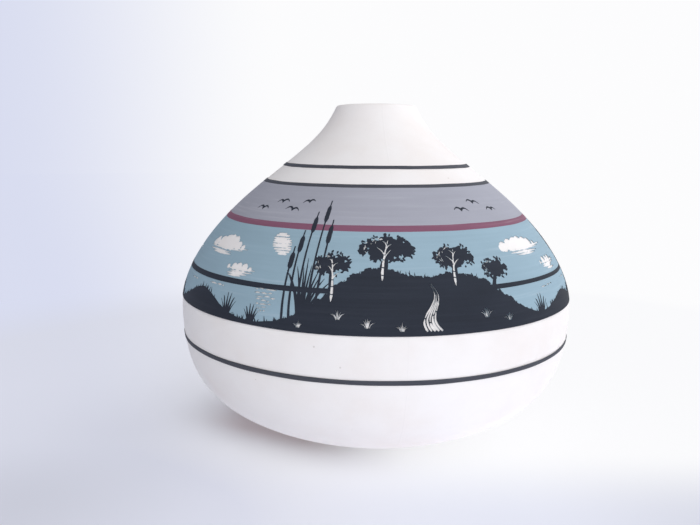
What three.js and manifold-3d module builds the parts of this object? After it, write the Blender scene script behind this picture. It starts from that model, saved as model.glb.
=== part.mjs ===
// Etched pottery vase: a slip-cast bisque pot, glazed inside, banded and painted outside
// in coloured slip, with strokes cut through the slip down to the white clay.
// Millimetres, +Z up, origin at the centre of the foot, picture facing -Y.

import * as THREE from "three";
import { mergeVertices } from "three/addons/utils/BufferGeometryUtils.js";
import Module from "manifold-3d";

// Outline of the outside. A lean is the wall's angle above the horizontal, in degrees,
// and a pull is how far the wall keeps to that lean before it bends away.
const potHeight = 162.4;
const lipRadius = 19.4;
const lipLean = 65.5;
const lipPull = 17.9;
const shoulderRadius = 60.6;
const shoulderDrop = 41.1; // from the lip down to where the hollow neck turns outwards
const shoulderLean = 40.2;
const neckPull = 30.5;
const shoulderPull = 26.6;
const bellyRadius = 95.25;
const bellyHeight = 67.3;
const overBellyPull = 17.2;
const underBellyPull = 47.3;
const footRadius = 33;
const footLean = 24.6;
const footPull = 42.8;

// Wall, lip and foot
const wallThickness = 5;
const lipRounding = 1.3;
const footRingWidth = 6;
const footRecess = 1.8;

// Coats. Each lies in a shallow seat in the clay, so the outline stays smooth.
const coatThickness = 0.5;
const glazeThickness = 0.5;
const seatGap = 0.3;
const glazeDrop = 4; // the glaze stops this far below the lip

// Bands, as widths along the wall from the lip down
const bareNeck = 38.1;
const neckLineWidth = 2;
const bareCollar = 10.6;
const shoulderLineWidth = 2;
const greyBandWidth = 21.2;
const maroonLineWidth = 2.6;
const upperSkyWidth = 26.1;
const horizonLineWidth = 1.6;
const lowerSkyWidth = 14.5;
const groundLineWidth = 1.1;
const bareBelly = 17.7;
const bellyLineWidth = 1.6;

// The picture, a wooded shore under a wide sky. Places and widths round the pot are in
// degrees, from the front to the right. Tops and heights are shares of the sky band that
// they stand in: of the upper one from the horizon line up to the maroon line, and of
// the lower one from the ground line up to the horizon line.
const knolls = [
  { at: -1, wide: 21, top: 0.26 },
  { at: 24, wide: 21, top: 0.14 },
];
const lowHills = [
  { at: -53, wide: 16, top: 0.66 },
  { at: 63, wide: 14.5, top: 0.52 },
  { at: 104, wide: 18, top: 0.73 },
  { at: -97, wide: 20.5, top: 0.45 },
];
const trees = [
  { at: 2, lean: 1.5, middle: 0.68, wide: 16, high: 0.48, lobes: 7, paleStem: true },
  { at: 21, lean: 1.5, middle: 0.52, wide: 12, high: 0.42, lobes: 5, paleStem: true },
  { at: -10.5, lean: -1, middle: 0.4, wide: 10, high: 0.38, lobes: 5, paleStem: true },
  { at: 31.5, lean: 3, middle: 0.28, wide: 8.5, high: 0.34, lobes: 5, paleStem: false },
];
const lobeDepth = 0.12; // as a share of the crown's radius
const trunkShare = 0.12; // of the crown's width
const stemWidth = 1.3;
const stemFoot = 4.2; // a pale stem starts this far below the shoreline
const stemTop = 0.62; // and ends this share of the crown's half height above its middle
const stemShift = 0.25; // with this share of the tree's lean
const stemBow = 0.4;
const tufts = [
  { at: -40, tall: 0.58, spread: 2.8 },
  { at: -31.5, tall: 0.45, spread: 2.3 },
  { at: 48, tall: 0.55, spread: 2.7 },
];
const tuftBlades = 4;
const outerBlade = 0.6; // of the tallest blade
const bladeWidth = 1.5;
const bladeBow = 0.6;
const moon = { at: -28.5, middle: 0.7, wide: 7, high: 0.41 };
const clouds = [
  { at: -53, middle: 0.57, long: 29, bow: 6 },
  { at: -53, middle: 0.52, long: 21, bow: 0.5 },
  { at: -40, middle: 0.24, long: 13, bow: 2.8 },
  { at: 50, middle: 0.61, long: 33, bow: 6 },
  { at: 50, middle: 0.56, long: 24, bow: 0.5 },
  { at: 61, middle: 0.26, long: 14, bow: 2.8 },
];
const cloudWidth = 1.8;

// A brook winds down the bank, from side to side of a straight line between two places.
const brook = {
  at: 13.2, // where it starts, round the pot
  footAt: 15.6,
  top: 4.8, // above the horizon line's lower edge
  foot: -14.5,
  width: 0.9,
  footWidth: 7.6,
  spread: 1.5, // a power: it widens late
  sway: 1.2,
  footSway: 2.2,
  bends: 1.7, // half turns
  phase: 0.4,
};
const rooting = 2; // trunks and blades start this far below the shoreline

// Facets
const sides = 40;
const rowStep = 15;
const insideRowStep = 28;
const cornerSteps = 2;
const skylineSides = 2 * sides;
const etchSteps = 4;
const bladeSteps = 2;
const pointsPerLobe = 4;
const moonSteps = 14;
const brookSteps = 5;

const wasm = await Module();
wasm.setup();
const { lerp } = THREE.MathUtils;

// A point a given length away from another, at an angle above the horizontal.
function stepFrom(radius, height, degrees, length) {
  const angle = THREE.MathUtils.degToRad(degrees);
  return new THREE.Vector2(radius + length * Math.cos(angle), height + length * Math.sin(angle));
}

// The outside from the lip down to the foot, as radius and height: a hollow neck,
// a full shoulder, and a round underside.
function potOutline() {
  const shoulderHeight = potHeight - shoulderDrop;
  const neck = new THREE.CubicBezierCurve(
    new THREE.Vector2(lipRadius, potHeight),
    stepFrom(lipRadius, potHeight, -lipLean, lipPull),
    stepFrom(shoulderRadius, shoulderHeight, 180 - shoulderLean, neckPull),
    new THREE.Vector2(shoulderRadius, shoulderHeight),
  );
  const shoulder = new THREE.CubicBezierCurve(
    new THREE.Vector2(shoulderRadius, shoulderHeight),
    stepFrom(shoulderRadius, shoulderHeight, -shoulderLean, shoulderPull),
    stepFrom(bellyRadius, bellyHeight, 90, overBellyPull),
    new THREE.Vector2(bellyRadius, bellyHeight),
  );
  const underside = new THREE.CubicBezierCurve(
    new THREE.Vector2(bellyRadius, bellyHeight),
    stepFrom(bellyRadius, bellyHeight, -90, underBellyPull),
    stepFrom(footRadius, 0, footLean, footPull),
    new THREE.Vector2(footRadius, 0),
  );
  const outline = new THREE.CurvePath();
  [neck, shoulder, underside].forEach((curve) => outline.add(curve));
  return outline;
}

const outline = potOutline();
const wallLength = outline.getLength();

// A point of the wall, by its distance along the outside from the lip and its depth
// below the outside.
function wallPoint(along, depth) {
  const share = THREE.MathUtils.clamp(along / wallLength, 0, 1);
  const point = outline.getPoint(share);
  const tangent = outline.getTangent(share);
  return new THREE.Vector2(point.x + tangent.y * depth, point.y - tangent.x * depth);
}

// Even steps from one distance to another, both included.
function steps(from, to, longest) {
  const count = Math.max(1, Math.ceil((to - from) / longest));
  return Array.from({ length: count + 1 }, (_, i) => from + ((to - from) * i) / count);
}

// Where each band starts and ends along the wall
const bandWidths = {
  bare_neck: bareNeck,
  neck_line: neckLineWidth,
  bare_collar: bareCollar,
  shoulder_line: shoulderLineWidth,
  grey_band: greyBandWidth,
  maroon_line: maroonLineWidth,
  upper_sky: upperSkyWidth,
  horizon_line: horizonLineWidth,
  lower_sky: lowerSkyWidth,
  ground_line: groundLineWidth,
  bare_belly: bareBelly,
  belly_line: bellyLineWidth,
};
const bands = {};
const rows = [];
let bandEdge = 0;
for (const [name, width] of Object.entries(bandWidths)) {
  bands[name] = { from: bandEdge, to: bandEdge + width };
  rows.push(...steps(bandEdge, bandEdge + width, rowStep).slice(1));
  bandEdge += width;
}
rows.push(...steps(bandEdge, wallLength, rowStep).slice(1));

// The bands that touch share one seat in the clay.
const seats = [
  ["neck_line"],
  ["shoulder_line", "grey_band", "maroon_line", "upper_sky", "horizon_line", "lower_sky", "ground_line"],
  ["belly_line"],
];

// Every ring and seat has its facets at the same rows, so a coat's facets lie parallel
// to its seat's. A row that nearly meets an end is left out.
function rowsBetween(from, to) {
  const margin = 2 * seatGap;
  return [from, ...rows.filter((row) => row > from + margin && row < to - margin), to];
}

// Turns a closed profile round the pot's axis.
function revolve(profile) {
  const geometry = new THREE.LatheGeometry(profile, sides);
  return geometry.rotateX(Math.PI / 2);
}

// The outside of the clay with its seats, from below the lip's rounding to the foot.
function clayOutside() {
  const points = [];
  let at = lipRounding;
  const runTo = (end, depth) => {
    points.push(...rowsBetween(at, end).map((row) => wallPoint(row, depth)));
    at = end;
  };
  for (const names of seats) {
    runTo(bands[names[0]].from - seatGap, 0);
    runTo(bands[names.at(-1)].to + seatGap, coatThickness + seatGap);
  }
  runTo(wallLength, 0);
  return points;
}

// The face of the inside at a depth below the outside, from the glaze's top edge down to
// the middle of the floor, which is as thick as the wall.
function insideFace(depth) {
  const wall = steps(glazeDrop, wallLength, insideRowStep).map((row) => wallPoint(row, depth));
  const floor = footRecess + depth;
  return [...wall, new THREE.Vector2(recessRadius(), floor), new THREE.Vector2(0, floor)];
}

// The recess under the foot has a sloping side, from the ring's inner edge up to here.
function recessRadius() {
  return footRadius - footRingWidth - footRecess;
}

function rounded(from, tip, to) {
  return new THREE.QuadraticBezierCurve(from, tip, to).getPoints(cornerSteps);
}

// The lip is flat on top, with both of its edges rounded.
function lip(outsideTop) {
  const insideTop = wallPoint(0, wallThickness);
  const lean = THREE.MathUtils.degToRad(lipLean);
  const insideTip = new THREE.Vector2(insideTop.x - (potHeight - insideTop.y) / Math.tan(lean), potHeight);
  const outsideTip = new THREE.Vector2(lipRadius, potHeight);
  const flatTo = new THREE.Vector2(lipRadius - lipRounding, potHeight);
  const flatFrom = new THREE.Vector2(insideTip.x + lipRounding, potHeight);
  return [
    ...rounded(outsideTop, outsideTip, flatTo).slice(1),
    ...rounded(flatFrom, insideTip, stepFrom(insideTip.x, insideTip.y, -lipLean, lipRounding)),
    insideTop,
  ];
}

function clayBody() {
  const outside = clayOutside();
  return revolve([
    new THREE.Vector2(0, footRecess),
    new THREE.Vector2(recessRadius(), footRecess),
    new THREE.Vector2(footRadius - footRingWidth, 0),
    ...outside.toReversed(),
    ...lip(outside[0]),
    ...insideFace(wallThickness),
  ]);
}

// The glaze that seals the inside is a thin cup that follows the wall.
function insideGlaze() {
  const near = insideFace(wallThickness + seatGap);
  const far = insideFace(wallThickness + seatGap + glazeThickness);
  return revolve([...near.toReversed(), ...far]);
}

// A ring between two distances along the wall and two depths.
function wallRing(from, to, outDepth, inDepth) {
  const between = rowsBetween(from, to);
  const outside = between.map((row) => wallPoint(row, outDepth));
  const inside = between.map((row) => wallPoint(row, inDepth));
  return revolve([...inside, ...outside.reverse(), inside[0]]);
}

// The coat of one or more touching bands, half a gap away from its neighbours.
function coat(firstBand, lastBand) {
  const startsSeat = seats.some((names) => names[0] === firstBand);
  const endsSeat = seats.some((names) => names.at(-1) === lastBand);
  const from = bands[firstBand].from + (startsSeat ? 0 : seatGap / 2);
  const to = bands[lastBand].to - (endsSeat ? 0 : seatGap / 2);
  return wallRing(from, to, 0, coatThickness);
}

// A solid for joining and cutting from a closed geometry, and back.
function solidOf(geometry) {
  const bare = geometry.clone();
  bare.deleteAttribute("normal");
  bare.deleteAttribute("uv");
  const merged = mergeVertices(bare, 1e-4);
  return new wasm.Manifold(new wasm.Mesh({
    numProp: 3,
    vertProperties: merged.attributes.position.array,
    triVerts: new Uint32Array(merged.index.array),
  }));
}

function geometryOf(solid) {
  const mesh = solid.getMesh();
  const geometry = new THREE.BufferGeometry();
  geometry.setAttribute("position", new THREE.BufferAttribute(mesh.vertProperties, 3));
  geometry.setIndex(new THREE.BufferAttribute(mesh.triVerts, 1));
  geometry.computeVertexNormals();
  return geometry;
}

// Wraps a point of the flat picture onto the wall. Across is measured round the belly,
// and up along the wall from the horizon line's lower edge.
function wrap(across, up, depth) {
  const wall = wallPoint(bands.horizon_line.to - up, depth);
  const angle = across / bellyRadius;
  return new THREE.Vector3(wall.x * Math.sin(angle), -wall.x * Math.cos(angle), wall.y);
}

// A skin that joins each outline to the next, with its ends closed by caps, or joined to
// each other where it goes all the way round.
function loft(outlines, capTriangles) {
  const count = outlines[0].length;
  const index = [];
  const joins = capTriangles.length ? outlines.length - 1 : outlines.length;
  for (let i = 0; i < joins; i++) {
    const here = i * count;
    const next = ((i + 1) % outlines.length) * count;
    for (let j = 0; j < count; j++) {
      const k = (j + 1) % count;
      index.push(here + j, next + k, next + j, here + j, here + k, next + k);
    }
  }
  const last = (outlines.length - 1) * count;
  for (const [a, b, c] of capTriangles) {
    index.push(a, c, b, last + a, last + b, last + c);
  }
  const positions = outlines.flat().flatMap((point) => point.toArray());
  const geometry = new THREE.BufferGeometry();
  geometry.setAttribute("position", new THREE.Float32BufferAttribute(positions, 3));
  geometry.setIndex(index);
  return geometry;
}

// A flat outline wrapped onto the wall, as a plug that goes right through the coats.
const plugReach = 4;
function plug(shape) {
  const flat = shape.map(([across, up]) => new THREE.Vector2(across, up));
  if (THREE.ShapeUtils.isClockWise(flat)) {
    flat.reverse();
  }
  const caps = THREE.ShapeUtils.triangulateShape(flat, []);
  const inner = flat.map((point) => wrap(point.x, point.y, plugReach));
  const outer = flat.map((point) => wrap(point.x, point.y, -plugReach));
  return solidOf(loft([inner, outer], caps));
}

// A flat outline, moved outwards all round.
function grown(shape, by) {
  return shape.map(([x, y], i) => {
    const [xa, ya] = shape.at(i - 1);
    const [xb, yb] = shape[(i + 1) % shape.length];
    const length = Math.hypot(xb - xa, yb - ya);
    return [x + (by * (yb - ya)) / length, y - (by * (xb - xa)) / length];
  });
}

// Flat outlines, anticlockwise, each a list of [across, up].

// A round form, plain or with lobes like a leafy crown.
function roundForm(across, up, wide, high, lobes = 0) {
  const count = lobes ? lobes * pointsPerLobe : moonSteps;
  return Array.from({ length: count }, (_, i) => {
    const angle = (2 * Math.PI * i) / count;
    const swell = lobes ? 1 + lobeDepth * Math.cos(lobes * angle) : 1;
    return [across + wide * swell * Math.cos(angle), up + high * swell * Math.sin(angle)];
  });
}

// A stroke from one point to another, bowed to its left, whose width at each share of the
// way comes from taper.
function stroke([xa, ya], [xb, yb], width, bow, taper, count) {
  const length = Math.hypot(xb - xa, yb - ya);
  const edge = (side) => Array.from({ length: count + 1 }, (_, i) => {
    const share = i / count;
    const off = 4 * bow * share * (1 - share) + (side * width * taper(share)) / 2;
    return [
      xa + (xb - xa) * share - ((yb - ya) / length) * off,
      ya + (yb - ya) * share + ((xb - xa) / length) * off,
    ];
  });
  return [...edge(-1), ...edge(1).reverse()];
}

// Widths at the two ends of a stroke, or at both ends of one that is full in its middle
const straightTaper = (from, to) => (share) => lerp(from, to, share);
const lensTaper = (end) => (share) => lerp(end, 1, Math.sin(Math.PI * share));
const bladeTaper = straightTaper(1.1, 0.1);
const trunkTaper = straightTaper(1.3, 0.7);
const stemTaper = straightTaper(1, 0.3);
const cloudTaper = lensTaper(0.2);

// A place round the belly and a height in the upper sky, as distances on the wall from
// the front and from the horizon line's lower edge.
const round = (degrees) => THREE.MathUtils.degToRad(degrees) * bellyRadius;
const inUpperSky = (share) => horizonLineWidth + share * upperSkyWidth;

// The knolls rise over the horizon line, and the low hills stay below it.
const hills = [
  ...knolls.map(({ at, wide, top }) => ({ at, wide, high: inUpperSky(top) + lowerSkyWidth })),
  ...lowHills.map(({ at, wide, top }) => ({ at, wide, high: top * lowerSkyWidth })),
];

// The shoreline's height at a place: each hill is a bell curve on the ground line.
function shoreline(degrees) {
  const rises = hills.map(({ at, wide, high }) => {
    const away = THREE.MathUtils.euclideanModulo(degrees - at + 180, 360) - 180;
    return high * Math.exp(-2 * (away / wide) ** 2);
  });
  return rises.reduce((sum, rise) => sum + rise) - lowerSkyWidth;
}

// The ground, all the way round, from under the ground line up to the shoreline.
const slopeReach = 0.5; // degrees to both sides
function groundPlug(growth) {
  const bottom = -lowerSkyWidth - groundLineWidth - plugReach;
  const sections = Array.from({ length: skylineSides }, (_, i) => {
    const degrees = (360 * i) / skylineSides;
    const rise = shoreline(degrees + slopeReach) - shoreline(degrees - slopeReach);
    const slope = rise / round(2 * slopeReach);
    const top = shoreline(degrees) + growth * Math.hypot(1, slope);
    return [
      wrap(round(degrees), bottom, -plugReach),
      wrap(round(degrees), bottom, plugReach),
      wrap(round(degrees), top, plugReach),
      wrap(round(degrees), top, -plugReach),
    ];
  });
  return solidOf(loft(sections, []));
}

function horizonPlug(growth) {
  const { from, to } = bands.horizon_line;
  return solidOf(wallRing(from - growth, to + growth, -plugReach, plugReach));
}

function crownMiddle({ at, lean, middle }) {
  return [round(at + lean), inUpperSky(middle)];
}

function crownRadii({ wide, high }) {
  return [round(wide) / 2, (high * upperSkyWidth) / 2];
}

// A spread of one place for each of a number of strokes, from -1 to 1.
function fanOut(count, makeStroke) {
  return Array.from({ length: count }, (_, i) => makeStroke((2 * i + 1) / count - 1));
}

function treeShapes(tree) {
  const middle = crownMiddle(tree);
  const root = [round(tree.at), shoreline(tree.at) - rooting];
  return [
    roundForm(...middle, ...crownRadii(tree), tree.lobes),
    stroke(root, middle, trunkShare * round(tree.wide), 0, trunkTaper, 1),
  ];
}

function tuftShapes({ at, tall, spread }) {
  const rootUp = shoreline(at) - rooting;
  return fanOut(tuftBlades, (fan) => {
    const root = [round(at) + fan * bladeWidth, rootUp];
    const rise = tall * lowerSkyWidth * (1 - (1 - outerBlade) * Math.abs(fan));
    const tip = [round(at + fan * spread), rootUp + rooting + rise];
    return stroke(root, tip, bladeWidth, fan * bladeBow, bladeTaper, bladeSteps);
  });
}

// Everything that is black in the picture, grown by a gap where it is cut from the sky.
function silhouette(growth) {
  const shapes = [...trees.flatMap(treeShapes), ...tufts.flatMap(tuftShapes)];
  return shapes.reduce(
    (all, shape) => all.add(plug(grown(shape, growth))),
    groundPlug(growth).add(horizonPlug(growth)),
  );
}

// A pale stem, from the ground up into the crown.
function stemShape(tree) {
  const [across, up] = crownMiddle(tree);
  const foot = [round(tree.at), shoreline(tree.at) - stemFoot];
  const top = [across + stemShift * round(tree.lean), up + stemTop * crownRadii(tree)[1]];
  return stroke(foot, top, stemWidth, stemBow * Math.sign(tree.lean), stemTaper, etchSteps);
}

function cloudShape({ at, middle, long, bow }) {
  const up = inUpperSky(middle);
  const from = [round(at - long / 2), up];
  return stroke(from, [round(at + long / 2), up], cloudWidth, bow, cloudTaper, etchSteps);
}

function brookShape() {
  const edge = (side) => Array.from({ length: brookSteps + 1 }, (_, i) => {
    const share = i / brookSteps;
    const turn = Math.sin(Math.PI * brook.bends * share + brook.phase);
    const middle = lerp(brook.at, brook.footAt, share) + turn * lerp(brook.sway, brook.footSway, share);
    const width = lerp(brook.width, brook.footWidth, share ** brook.spread);
    return [round(middle) + (side * width) / 2, lerp(brook.top, brook.foot, share)];
  });
  return [...edge(1), ...edge(-1).reverse()];
}

// What is cut through the coats down to the clay: the moon and clouds in the sky, and
// the stems and the brook in the black.
function etching() {
  const shapes = [
    roundForm(round(moon.at), inUpperSky(moon.middle), ...crownRadii(moon)),
    ...clouds.map(cloudShape),
    ...trees.filter((tree) => tree.paleStem).map(stemShape),
    brookShape(),
  ];
  return shapes.map(plug).reduce((all, one) => all.add(one));
}

const etched = etching();

// The black of the whole picture is one coat, painted over with one brush.
function blackPicture() {
  const whole = solidOf(coat("upper_sky", "ground_line"));
  return geometryOf(whole.intersect(silhouette(0)).subtract(etched));
}

function sky(band) {
  return geometryOf(solidOf(coat(band, band)).subtract(silhouette(seatGap)).subtract(etched));
}

// The name, shape, colour and roughness of each piece
const black = 0x2f343d;
const pieces = [
  ["clay_body", clayBody(), 0xf1edea, 0.9],
  ["inside_glaze", insideGlaze(), 0xf4f3ef, 0.2],
  ["neck_line", coat("neck_line", "neck_line"), black, 0.8],
  ["shoulder_line", coat("shoulder_line", "shoulder_line"), black, 0.8],
  ["grey_band", coat("grey_band", "grey_band"), 0xa5a6b5, 0.85],
  ["maroon_line", coat("maroon_line", "maroon_line"), 0x85506a, 0.85],
  ["upper_sky", sky("upper_sky"), 0x93b4c0, 0.85],
  ["lower_sky", sky("lower_sky"), 0x95b5c4, 0.85],
  ["black_picture", blackPicture(), black, 0.8],
  ["belly_line", coat("belly_line", "belly_line"), black, 0.8],
];

const vase = new THREE.Group();
vase.name = "etched_vase";
for (const [name, geometry, color, roughness] of pieces) {
  const material = new THREE.MeshStandardMaterial({ color, roughness, metalness: 0 });
  const mesh = new THREE.Mesh(geometry, material);
  mesh.name = name;
  vase.add(mesh);
}

export default vase;
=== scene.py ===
# Etched pottery vase: a matte white bisque pot, glazed inside, banded on the wheel in
# coloured slips, painted with a black wooded shore, and scratched through to the clay.
# Sizes are in millimetres and angles in degrees, until a mesh is made.

import math

import bpy
import numpy as np
from mathutils import Matrix, Vector
from mathutils.geometry import delaunay_2d_cdt


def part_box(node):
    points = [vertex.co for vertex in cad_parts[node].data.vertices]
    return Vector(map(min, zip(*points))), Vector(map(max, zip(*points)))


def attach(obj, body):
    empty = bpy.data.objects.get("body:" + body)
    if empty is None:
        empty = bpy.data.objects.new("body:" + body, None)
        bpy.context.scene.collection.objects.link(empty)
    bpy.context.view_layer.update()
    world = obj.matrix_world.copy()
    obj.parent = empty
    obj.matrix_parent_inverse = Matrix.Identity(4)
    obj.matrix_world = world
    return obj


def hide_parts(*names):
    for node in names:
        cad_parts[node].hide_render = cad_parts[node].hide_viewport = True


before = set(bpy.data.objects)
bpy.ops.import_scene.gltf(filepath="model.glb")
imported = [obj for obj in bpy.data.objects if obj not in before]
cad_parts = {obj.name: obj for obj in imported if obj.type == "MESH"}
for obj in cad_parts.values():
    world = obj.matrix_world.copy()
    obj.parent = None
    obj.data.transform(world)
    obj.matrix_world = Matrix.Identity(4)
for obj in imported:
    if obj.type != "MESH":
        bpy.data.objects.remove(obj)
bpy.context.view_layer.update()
print("frame loaded")

mm = 0.001
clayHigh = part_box("clay_body")[1] / mm
potRadius, potHeight = clayHigh.x, clayHigh.z

# The outside of the pot. A lean is the wall's angle above the horizontal, and a pull is
# how far the wall keeps to that lean before it bends away.
potForm = {
    "lipRadius": 19.4, "lipLean": 65.5, "lipPull": 17.9,
    "shoulderRadius": 60.6, "shoulderDrop": 41.1, "shoulderLean": 40.2,
    "neckPull": 30.5, "shoulderPull": 26.6,
    "bellyHeight": 67.3, "overBellyPull": 17.2, "underBellyPull": 47.3,
    "footRadius": 33, "footLean": 24.6, "footPull": 42.8,
    "samples": 900,  # on each of the three curves
}


def stepFrom(start, degrees, length):
    angle = math.radians(degrees)
    return start + length * np.array([math.cos(angle), math.sin(angle)])


def bezier(a, b, c, d, count):
    # (1 - t)^3 a + 3 (1 - t)^2 t b + 3 (1 - t) t^2 c + t^3 d
    t = np.linspace(0, 1, count)[:, None]
    return (1 - t) ** 3 * a + 3 * (1 - t) ** 2 * t * b + 3 * (1 - t) * t**2 * c + t**3 * d


def potOutline(form):
    lip = np.array([form["lipRadius"], potHeight])
    shoulder = np.array([form["shoulderRadius"], potHeight - form["shoulderDrop"]])
    belly = np.array([potRadius, form["bellyHeight"]])
    foot = np.array([form["footRadius"], 0])
    neckEnd = stepFrom(shoulder, 180 - form["shoulderLean"], form["neckPull"])
    shoulderStart = stepFrom(shoulder, -form["shoulderLean"], form["shoulderPull"])
    count = form["samples"]
    curves = [
        bezier(lip, stepFrom(lip, -form["lipLean"], form["lipPull"]), neckEnd, shoulder, count),
        bezier(shoulder, shoulderStart, stepFrom(belly, 90, form["overBellyPull"]), belly, count),
        bezier(belly, stepFrom(belly, -90, form["underBellyPull"]),
               stepFrom(foot, form["footLean"], form["footPull"]), foot, count),
    ]
    return np.concatenate([curves[0], curves[1][1:], curves[2][1:]])


outline = potOutline(potForm)
outlineArc = np.concatenate([[0], np.cumsum(np.hypot(*np.diff(outline, axis=0).T))])
outlineTangent = np.gradient(outline, outlineArc, axis=0)
wallLength = outlineArc[-1]


def wallNormal(along):
    # The wall's tangent (r', z') turned a quarter outwards: (-z', r')
    tangent = [np.interp(along, outlineArc, outlineTangent[:, k]) for k in (0, 1)]
    size = np.hypot(*tangent)
    return -tangent[1] / size, tangent[0] / size


def wallPoint(along, proud=0.0):
    # Radius and height of a point by its distance along the wall from the lip, and how
    # far it stands proud of the clay: (r, z) + proud * normal
    outR, outZ = wallNormal(along)
    radius = np.interp(along, outlineArc, outline[:, 0]) + proud * outR
    return radius, np.interp(along, outlineArc, outline[:, 1]) + proud * outZ


# Bands, as widths along the wall from the lip down
bandWidths = {
    "bareNeck": 38.1, "neckLine": 2, "bareCollar": 10.6, "shoulderLine": 2, "grey": 21.2,
    "maroon": 2.6, "upperSky": 26.1, "horizonLine": 1.6, "lowerSky": 14.5, "groundLine": 1.1,
    "bareBelly": 17.7, "bellyLine": 1.6,
}
bandEnds = dict(zip(bandWidths, np.cumsum(list(bandWidths.values()))))
bandStarts = {name: bandEnds[name] - width for name, width in bandWidths.items()}

# Meshes


def addPiece(name, points, faces, material, node):
    mesh = bpy.data.meshes.new(name)
    mesh.from_pydata((points * mm).tolist(), [], faces)
    mesh.materials.append(material)
    mesh.shade_smooth()
    piece = bpy.data.objects.new(name, mesh)
    bpy.context.scene.collection.objects.link(piece)
    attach(piece, "root")
    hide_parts(node)
    print("made", name, len(faces), "faces")
    return piece


def turnedSkin(radius, height, loop=False):
    # (r sin u, -r cos u, z) on a grid of turns u and rows. The rows run down the outside,
    # and a row whose radius is nought closes in one point.
    turns, rows = radius.shape
    turn = np.linspace(0, 2 * math.pi, turns, endpoint=False)[:, None]
    grid = np.stack([radius * np.sin(turn), -radius * np.cos(turn), height], -1)
    index = np.arange(turns * rows).reshape(turns, rows)
    if loop:
        index = np.hstack([index, index[:, :1]])
    else:
        index[:, [0, -1]] = index[0, [0, -1]]
    here, below = index[:, :-1], index[:, 1:]
    quads = np.stack([here, below, np.roll(below, -1, 0), np.roll(here, -1, 0)], -1)
    used, corners = np.unique(quads, return_inverse=True)
    corners = corners.reshape(-1, 4)
    startsAtPole = corners[:, 0] == corners[:, 3]
    endsAtPole = corners[:, 1] == corners[:, 2]
    faces = corners[~startsAtPole & ~endsAtPole].tolist()
    faces += corners[startsAtPole][:, [0, 1, 2]].tolist()
    faces += corners[endsAtPole][:, [0, 1, 3]].tolist()
    return grid.reshape(-1, 3)[used], faces


def waver(angle, size, waves, rng):
    # A sum of sines of whole waves round the pot, with random phases, about -size to size
    phases = rng.uniform(0, 2 * math.pi, len(waves))
    total = sum(np.sin(count * angle + phase) for count, phase in zip(waves, phases))
    return size * total / math.sqrt(len(waves))


# Materials. Patterns read Object coordinates, in metres.


def addNode(tree, kind, settings=None, inputs=None):
    node = tree.nodes.new("ShaderNode" + kind)
    for key, value in (settings or {}).items():
        setattr(node, key, value)
    for key, value in (inputs or {}).items():
        if isinstance(value, bpy.types.NodeSocket):
            tree.links.new(value, node.inputs[key])
        else:
            node.inputs[key].default_value = value
    return node.outputs


def math2(tree, operation, a, b=0.0):
    return addNode(tree, "Math", {"operation": operation}, {0: a, 1: b})[0]


def times(tree, a, b):
    return math2(tree, "MULTIPLY", a, b)


def plus(tree, a, b):
    return math2(tree, "ADD", a, b)


def minus(tree, a, b):
    return math2(tree, "SUBTRACT", a, b)


def opposite(tree, value):
    # 1 - value
    return minus(tree, 1.0, value)


def noise(tree, place, cells, detail=2.0, stretch=(1, 1, 1)):
    # Noise whose cells are given in millimetres, stretched along each axis
    scale = tuple(1 / (cells * mm * s) for s in stretch)
    spread = addNode(tree, "Mapping", None, {"Vector": place, "Scale": scale})[0]
    return addNode(tree, "TexNoise", None, {"Vector": spread, "Scale": 1.0, "Detail": detail})[0]


def cellular(tree, place, cells, feature="F1"):
    # Voronoi cells, given in millimetres too
    return addNode(tree, "TexVoronoi", {"feature": feature}, {"Vector": place, "Scale": 1 / (cells * mm)})


def about(tree, value, size):
    # (value - 0.5) * size
    return times(tree, minus(tree, value, 0.5), size)


def between(tree, value, low, high):
    # A smooth step from nought at low to one at high
    inputs = {"Value": value, "From Min": low, "From Max": high}
    return addNode(tree, "MapRange", {"interpolation_type": "SMOOTHSTEP"}, inputs)[0]


def mixed(tree, factor, *colours):
    first, second = [colour + (1,) if isinstance(colour, tuple) else colour for colour in colours]
    return addNode(tree, "MixRGB", None, {"Fac": factor, "Color1": first, "Color2": second})[0]


def scaled(tree, colour, factor):
    return addNode(tree, "VectorMath", {"operation": "SCALE"}, {0: colour, "Scale": factor})[0]


def fromPlane(tree, place, degrees):
    # |x cos a + y sin a|, how far a point lies from an upright plane through the axis
    angle = math.radians(degrees)
    way = (math.cos(angle), math.sin(angle), 0)
    along = addNode(tree, "VectorMath", {"operation": "DOT_PRODUCT"}, {0: place, 1: way})["Value"]
    return math2(tree, "ABSOLUTE", along)


def startMaterial(name):
    material = bpy.data.materials.new(name)
    material.use_nodes = True
    tree = material.node_tree
    place = addNode(tree, "TexCoord")["Object"]
    return material, tree, tree.nodes["Principled BSDF"], place


def finishShader(tree, shader, colour, roughness, height, depth, gloss=0.5):
    bump = addNode(tree, "Bump", None, {"Height": height, "Distance": depth * mm, "Strength": 1.0})
    tree.links.new(colour, shader.inputs["Base Color"])
    tree.links.new(roughness, shader.inputs["Roughness"])
    tree.links.new(bump[0], shader.inputs["Normal"])
    shader.inputs["Specular IOR Level"].default_value = gloss


bisque = {
    "colour": (0.86, 0.838, 0.825), "warm": (0.83, 0.79, 0.765), "speck": (0.36, 0.31, 0.27),
    "roughness": 0.82, "gloss": 0.3, "bump": 0.05,
    "warmCells": 26, "warmFrom": 0.35, "warmTo": 0.75,
    "grainCells": 0.35, "grain": 0.035, "dustCells": 3.2, "dust": 0.03, "dustRough": 0.1,
    "speckCells": 11, "speckSize": 0.03, "speckEdge": 0.02, "speckDark": 0.3,
    "seamTurn": 8, "seamWidth": 0.35, "seamDark": 0.012,  # the mould's seam, down front and back
}


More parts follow.
